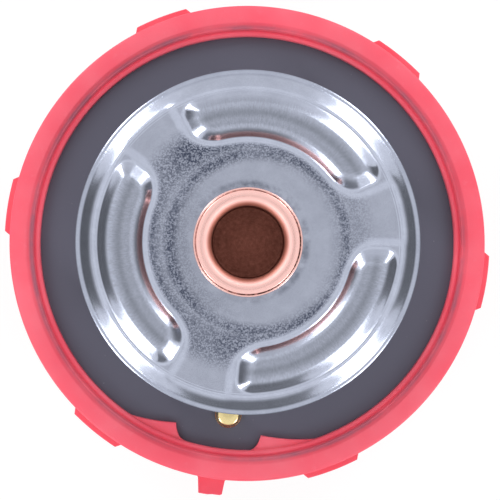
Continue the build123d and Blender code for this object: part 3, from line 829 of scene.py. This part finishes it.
seal = {
    # its section
    "landWidth": 2.15 * mm, "grooveWidth": 0.7 * mm, "grooveDrop": 0.45 * mm,
    "grooveSlope": 0.6 * mm, "creaseDrop": 0.4 * mm, "lipWidth": 0.45 * mm, "inner": 26.2 * mm,
    "slot": 28.55 * mm, "flangeHalf": 0.6 * mm, "fitWallLow": -0.2 * mm, "flankTaper": 0.6 * mm,
    # lugs, key and ears, by azimuth in degrees
    "lugs": [50.8 + 60 * i for i in range(6)], "lugFoot": 7.5, "lugCrest": 6.2,
    "lugReach": 0.89 * mm, "lugTop": -0.3 * mm, "lugHeight": 2.2 * mm,
    "key": 261.4, "keyBefore": [(3.9, 0.0), (3.3, 0.4), (2.5, 2.34)],
    "keyAfter": [(3.8, 0.0), (3.2, 0.4), (2.85, 2.1), (2.4, 2.24)],
    "ears": [(236.0, 248.3, 253.0), (289.0, 274.1, 270.2)], "earReach": 1.8 * mm,
    "earHeight": 1.0 * mm, "earHollow": 2.4, "standingEdge": 0.16 * mm,
    "sides": 360, "flatSteps": 20, "hollowSteps": 12,
}


def turnBetween(first, second):
    return (second - first + 180) % 360 - 180


def stepped(value, table):
    # straight lines between (place, height) pairs that are in falling order of place
    if value >= table[0][0]:
        return table[0][1]
    for (a, low), (b, high) in zip(table, table[1:]):
        if value >= b:
            return low + (high - low) * (a - value) / (a - b)
    return table[-1][1]


def outwardReach(azimuth):
    # the lugs, and the key tab between two of them
    lug = max(stepped(abs(turnBetween(centre, azimuth)),
                      [(seal["lugFoot"], 0.0), (seal["lugCrest"], 1.0)])
              for centre in seal["lugs"])
    turn = turnBetween(seal["key"], azimuth)
    key = stepped(abs(turn), seal["keyBefore"] if turn < 0 else seal["keyAfter"]) * mm
    return max(lug * seal["lugReach"], key)


def inwardReach(azimuth):
    # each ear rises evenly from its outer end to its tip, and falls in a hollow to the notch
    reach = 0.0
    for outerEnd, tip, notch in seal["ears"]:
        upFlat = turnBetween(outerEnd, azimuth) / turnBetween(outerEnd, tip)
        upHollow = turnBetween(notch, azimuth) / turnBetween(notch, tip)
        if 0 <= upFlat <= 1:
            reach = max(reach, upFlat * seal["earReach"])
        elif 0 <= upHollow <= 1:
            reach = max(reach, seal["earReach"] * upHollow ** seal["earHollow"])
    return reach


def sealSection(azimuth):
    low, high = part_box("perimeter_seal")
    half = high.z
    rim = frame["record"]["mounts"][0]["dims"]["r_mm"] * mm
    land = rim - seal["landWidth"]
    groove = land - seal["grooveWidth"]
    floor = half - seal["grooveDrop"]
    crease = floor - seal["creaseDrop"]
    lip = seal["inner"] + seal["lipWidth"]
    flankDepth = seal["fitWallLow"] + half

    def flank(z):
        return rim - seal["flankTaper"] * max(0, seal["fitWallLow"] - z) / flankDepth

    lugTop, lugLow = seal["lugTop"], seal["lugTop"] - seal["lugHeight"]
    out = rim + outwardReach(azimuth)
    standing = out > rim + sliver
    ear = seal["inner"] - inwardReach(azimuth)
    earTop = seal["flangeHalf"] + seal["earHeight"]
    soft = seal["standingEdge"]
    return [
        (flank(-half), -half, 0.35 * mm),
        (flank(lugLow), lugLow, 0.03 * mm),
        (out if standing else flank(lugLow), lugLow, soft),
        (out if standing else flank(lugTop), lugTop, soft),
        (flank(lugTop), lugTop, 0.03 * mm),
        (rim, seal["fitWallLow"], 0.05 * mm),
        (rim, half, 0.3 * mm),
        (land, half, 0.14 * mm),
        (land - seal["grooveSlope"], floor, 0.3 * mm),
        (groove, floor, 0.1 * mm),
        ((groove + lip) / 2, crease, 0.12 * mm),
        (lip, floor - seal["creaseDrop"] / 2, 0.12 * mm),
        (seal["inner"], crease, 0.12 * mm),
        (seal["inner"], earTop, 0.02 * mm),
        (ear, earTop, soft),
        (ear, seal["flangeHalf"], 0.02 * mm),
        (seal["slot"], seal["flangeHalf"], 0.02 * mm),
        (seal["slot"], -seal["flangeHalf"], 0.02 * mm),
        (seal["inner"], -seal["flangeHalf"], 0.1 * mm),
        (seal["inner"], -crease, 0.2 * mm),
        (groove, -half, 0.3 * mm),
    ]


def sealAzimuths():
    # even steps, with one more at each corner of a lug, the key or an ear
    places = {round(a, 2) for a in steps(seal["sides"])}
    flat, hollow = seal["flatSteps"], seal["hollowSteps"]
    for centre in seal["lugs"]:
        places |= {round((centre + s * a) % 360, 2) for a in (seal["lugFoot"], seal["lugCrest"])
                   for s in (-1, 1)}
    places |= {round(seal["key"] - away, 2) for away, _ in seal["keyBefore"]}
    places |= {round(seal["key"] + away, 2) for away, _ in seal["keyAfter"]}
    for outerEnd, tip, notch in seal["ears"]:
        places |= {round((tip + (notch - tip) * i / hollow) % 360, 2) for i in range(hollow + 1)}
        places |= {round((outerEnd + (tip - outerEnd) * i / flat) % 360, 2)
                   for i in range(flat + 1)}
    return sorted(places)


perimeterSeal = turnedPiece("perimeterSeal", sealSection, sealAzimuths())
finishPiece(perimeterSeal, "root", "silicone", silicone, "perimeter_seal")
print("seal moulded, faces:", len(perimeterSeal.data.polygons))


# Floor, light and camera. Angles are in degrees; a grey or a glow of 1 is white.

studio = {
    "floorHalf": 0.16, "floorGlow": 0.8, "floorGlowStrength": 1.04, "room": 0.5,
    "lampDistance": 0.4, "lampSize": (0.1, 0.36), "lampElevation": 22,
    "lampAzimuths": (48, 136, 220, 314), "lampPower": 0.64, "lampsAimAt": 0.015,
    "topFill": 0.24, "topFillPlace": (90, 62, 0.5), "topFillSize": (0.3, 0.3),
    # cards, as azimuth and grey
    "sideCards": ((0, 0.2), (90, 0.85), (180, 0.17), (270, 0.26)), "sideCard": (0.3, 0.36),
    "sideCardElevation": 20, "cardTop": 0.85, "cardFade": (0.11, 0.24), "topCard": (0.12, 0.12),
    "topGrey": 0.72, "cardDistance": 0.35,
}
white = linearColour("#ffffff")


def emptyTree(owner):
    owner.use_nodes = True
    owner.node_tree.nodes.clear()
    return owner.node_tree


def flatSheet(name, materialName, corners):
    mesh = bpy.data.meshes.new(name)
    mesh.from_pydata(corners, [], [(0, 1, 2, 3)])
    mesh.materials.append(bpy.data.materials.new(materialName))
    return meshObject(name, mesh), emptyTree(mesh.materials[0])


def seenDirectly(tree):
    # 1 for what the eye, metal and glass see, 0 for what lights the rest
    ray = addNode(tree, "ShaderNodeLightPath")
    seen = addNode(tree, "ShaderNodeMath", [ray.outputs["Is Camera Ray"],
                                            ray.outputs["Is Glossy Ray"]], operation="MAXIMUM")
    return addNode(tree, "ShaderNodeMath", [seen, ray.outputs["Is Transmission Ray"]],
                   operation="MAXIMUM")


def plainFloor():
    # the eye sees it glow white, less the object's own shadow
    half, z = studio["floorHalf"], cadLow.z
    floor, tree = flatSheet("floor", "paleFloor", [(-half, -half, z), (half, -half, z),
                                                   (half, half, z), (-half, half, z)])
    matt = addNode(tree, "ShaderNodeBsdfDiffuse", {"Color": white})
    glow = addNode(tree, "ShaderNodeEmission", {"Color": white,
                                                "Strength": studio["floorGlowStrength"]})
    share = addNode(tree, "ShaderNodeMath", [seenDirectly(tree), studio["floorGlow"]],
                    operation="MULTIPLY")
    mixed = addNode(tree, "ShaderNodeMixShader", [share, matt, glow])
    addNode(tree, "ShaderNodeOutputMaterial", [mixed])
    floor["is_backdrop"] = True


def paleWorld():
    # a plain grey room to light by; white to the eye, to metal and through glass
    world = bpy.data.worlds.new("studio")
    bpy.context.scene.world = world
    tree = emptyTree(world)
    room = addNode(tree, "ShaderNodeBackground", {"Color": white, "Strength": studio["room"]})
    backdrop = addNode(tree, "ShaderNodeBackground", {"Color": white, "Strength": 1.0})
    mixed = addNode(tree, "ShaderNodeMixShader", [seenDirectly(tree), room, backdrop])
    addNode(tree, "ShaderNodeOutputWorld", [mixed])


def outTowards(azimuth, elevation):
    a, e = math.radians(azimuth), math.radians(elevation)
    return Vector((math.cos(a) * math.cos(e), math.sin(a) * math.cos(e), math.sin(e)))


def greyCard(name, azimuth, elevation, size, level, upperLevel):
    # a grey card that only polished surfaces see, to give their curves some contrast;
    # it may grow lighter upwards
    towards = outTowards(azimuth, elevation)
    turn = towards.to_track_quat("Z", "Y").to_matrix()
    x, y = size[0] / 2, size[1] / 2
    card, tree = flatSheet(name, name, [towards * studio["cardDistance"] + turn @ Vector(corner)
                                        for corner in ((-x, -y, 0), (x, -y, 0), (x, y, 0),
                                                       (-x, y, 0))])
    place = addNode(tree, "ShaderNodeTexCoord").outputs["Object"]
    height = addNode(tree, "ShaderNodeSeparateXYZ", [place]).outputs[2]
    strength = addNode(tree, "ShaderNodeMapRange", [height, *studio["cardFade"], level,
                                                    upperLevel])
    glow = addNode(tree, "ShaderNodeEmission", {"Color": white, "Strength": strength})
    addNode(tree, "ShaderNodeOutputMaterial", [glow])
    card.visible_camera = card.visible_diffuse = card.visible_shadow = False
    card.visible_transmission = card.visible_volume_scatter = False
    card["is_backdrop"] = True


def softbox(name, azimuth, elevation, distance, size, power):
    lamp = bpy.data.lights.new(name, "AREA")
    lamp.shape = "RECTANGLE"
    lamp.size, lamp.size_y = size
    lamp.energy = power
    box = bpy.data.objects.new(name, lamp)
    bpy.context.scene.collection.objects.link(box)
    towards = outTowards(azimuth, elevation)
    box.location = towards * distance + Vector((0, 0, studio["lampsAimAt"]))
    box.rotation_euler = towards.to_track_quat("Z", "Y").to_euler()
    return box


plainFloor()
paleWorld()
for number, azimuth in enumerate(studio["lampAzimuths"], 1):
    softbox(f"softbox{number}", azimuth, studio["lampElevation"], studio["lampDistance"],
            studio["lampSize"], studio["lampPower"])
topFill = softbox("topFill", *studio["topFillPlace"], studio["topFillSize"], studio["topFill"])
topFill.visible_glossy = False  # or the disc would mirror it
for number, (azimuth, grey) in enumerate(studio["sideCards"], 1):
    greyCard(f"sideCard{number}", azimuth, studio["sideCardElevation"], studio["sideCard"],
             grey, studio["cardTop"])
greyCard("topCard", 0, 90, studio["topCard"], studio["topGrey"], studio["topGrey"])

eye = {
    "place": Vector((-0.98, -1.62, 334.7)) * mm, "aim": Vector((0.354, -0.83, 2.9)) * mm,
    "sensor": 36.0, "focalPixels": 2631.0, "framePixels": 500, "clip": (0.01, 10),
}
cameraData = bpy.data.cameras.new("camera")
cameraData.sensor_width = eye["sensor"]
cameraData.lens = eye["sensor"] * eye["focalPixels"] / eye["framePixels"]
cameraData.clip_start, cameraData.clip_end = eye["clip"]
camera = bpy.data.objects.new("camera", cameraData)
bpy.context.scene.collection.objects.link(camera)
camera.location = eye["place"]
back = (eye["place"] - eye["aim"]).normalized()
right = Vector((0, 1, 0)).cross(back).normalized()  # so +Y stands upright in the picture
camera.rotation_euler = Matrix((right, back.cross(right), back)).transposed().to_euler()
bpy.context.scene.camera = camera
bpy.context.scene.view_settings.view_transform = "Standard"
print("floor, light and camera set")

low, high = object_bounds()
print("visual box:", [round(v / mm, 2) for v in (*low, *high)])
